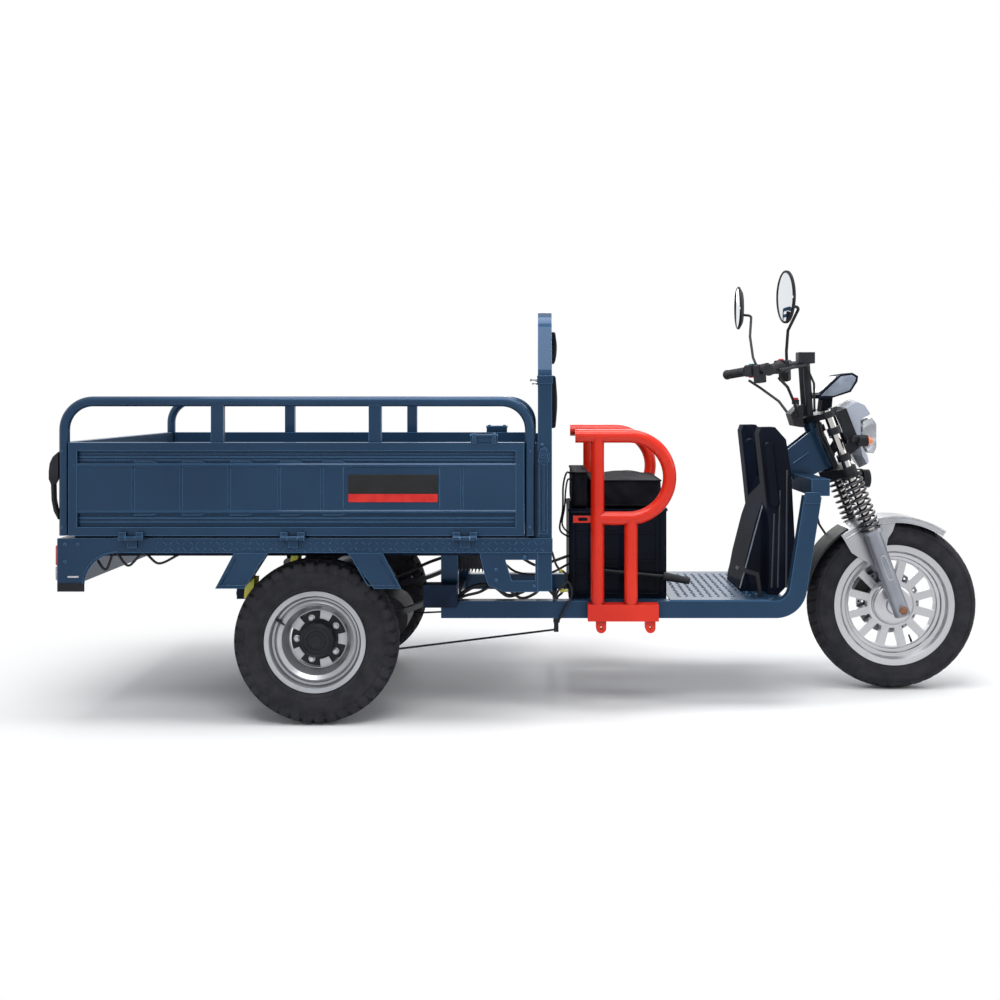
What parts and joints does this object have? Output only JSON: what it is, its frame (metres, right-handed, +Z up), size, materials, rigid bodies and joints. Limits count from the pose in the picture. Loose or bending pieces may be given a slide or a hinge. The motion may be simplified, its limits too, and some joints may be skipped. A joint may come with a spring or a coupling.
{
  "type": "electric cargo tricycle",
  "caption": "Electric cargo tricycle: steered front wheel, saddle on a box between hoop guards, and a drop-side load bed with tube rails over a leaf-sprung rear axle.",
  "frame": {"origin": "on the ground below the middle of the overall length, on the centre plane", "axes": "+X forward, +Y to the left, +Z up"},
  "size_m": [3.134, 1.052, 1.496],
  "materials": {
    "body_paint": "gloss petrol-blue enamel",
    "guard_paint": "gloss orange-red powder coat",
    "silver_paint": "satin silver lacquer",
    "grey_alloy": "satin cast alloy",
    "bright_alloy": "machined and lacquered",
    "chrome": "polished plate",
    "steel": "ground steel",
    "black_steel": "semi-gloss black enamel",
    "black_plastic": "moulded, fine grain",
    "gloss_plastic": "gloss moulded",
    "silver_plastic": "silver-coated moulding",
    "rubber": "moulded rubber",
    "tyre": "vulcanised rubber",
    "vinyl": "stitched vinyl",
    "cast_iron": "painted casting",
    "spring_steel": "black spring enamel",
    "red_lens": "clear-coated red lens",
    "amber_lens": "amber lens",
    "clear_lens": "clear moulded lens"
  },
  "bodies": {
    "frame": {"backrest_pads": "vinyl", "bed_floor": "body_paint", "bed_skirts": "body_paint", "bed_subframe": "body_paint", "brake_linkage": "black_steel", "chassis_rails": "body_paint", "drive_motor": "cast_iron", "floorboard": "body_paint", "gate_hinges": "body_paint", "headboard": "body_paint", "leaf_springs": "spring_steel", "leg_shields": "gloss_plastic", "parking_lever": "black_plastic", "post_latches": "body_paint", "rear_axle": "black_steel", "rear_mudguards": "body_paint", "seat_box": "gloss_plastic", "seat_cushion": "vinyl", "seat_guards": "guard_paint", "spring_hangers": "body_paint", "steering_head": "body_paint", "tail_lamps": "red_lens"},
    "steering": {"brake_caliper": "cast_iron", "control_cables": "rubber", "controls": "black_plastic", "fork_sliders": "grey_alloy", "fork_springs": "spring_steel", "fork_tubes": "chrome", "fork_yokes": "black_steel", "front_indicators": "amber_lens", "front_mudguard": "silver_paint", "grips": "rubber", "handlebar": "black_steel", "headlamp_lens": "clear_lens", "headlamp_shell": "silver_plastic", "horn": "chrome", "ignition_box": "black_plastic", "instrument_pod": "gloss_plastic", "lamp_bracket": "black_steel", "mirrors": "black_plastic", "mudguard_flap": "black_plastic"},
    "front_wheel": {"front_rim": "bright_alloy", "front_tyre": "tyre", "brake_disc": "steel"},
    "rear_wheel_left": {"rear_rim_left": "silver_paint", "rear_hub_left": "black_steel", "rear_tyre_left": "tyre"},
    "rear_wheel_right": {"rear_rim_right": "silver_paint", "rear_hub_right": "black_steel", "rear_tyre_right": "tyre"},
    "left_gate": {"side_gate_left": "body_paint", "side_rail_left": "body_paint", "gate_latch_left": "black_steel"},
    "right_gate": {"side_gate_right": "body_paint", "side_rail_right": "body_paint", "gate_latch_right": "black_steel"},
    "rear_gate": {"tailgate": "body_paint"}
  },
  "joints": [
    {"name": "steering_turn", "type": "hinge", "parent": "frame", "child": "steering", "pos_m": [1.01174, 0, 0.84933], "axis": [-0.3486, 0, 0.9373], "range_deg": [-40, 40]},
    {"name": "front_wheel_spin", "type": "hinge", "parent": "steering", "child": "front_wheel", "pos_m": [1.264, 0, 0.303], "axis": [0, 1, 0], "continuous": true},
    {"name": "rear_left_wheel_spin", "type": "hinge", "parent": "frame", "child": "rear_wheel_left", "pos_m": [-0.732, 0.43, 0.2665], "axis": [0, 1, 0], "continuous": true},
    {"name": "rear_right_wheel_spin", "type": "hinge", "parent": "frame", "child": "rear_wheel_right", "pos_m": [-0.732, -0.43, 0.2665], "axis": [0, 1, 0], "continuous": true},
    {"name": "left_gate_drop", "type": "hinge", "parent": "frame", "child": "left_gate", "pos_m": [-0.78, 0.518, 0.606], "axis": [-1, 0, 0], "range_deg": [0, 170]},
    {"name": "right_gate_drop", "type": "hinge", "parent": "frame", "child": "right_gate", "pos_m": [-0.78, -0.518, 0.606], "axis": [1, 0, 0], "range_deg": [0, 170]},
    {"name": "rear_gate_drop", "type": "hinge", "parent": "frame", "child": "rear_gate", "pos_m": [-1.548, 0, 0.606], "axis": [0, -1, 0], "range_deg": [0, 165]}
  ]
}
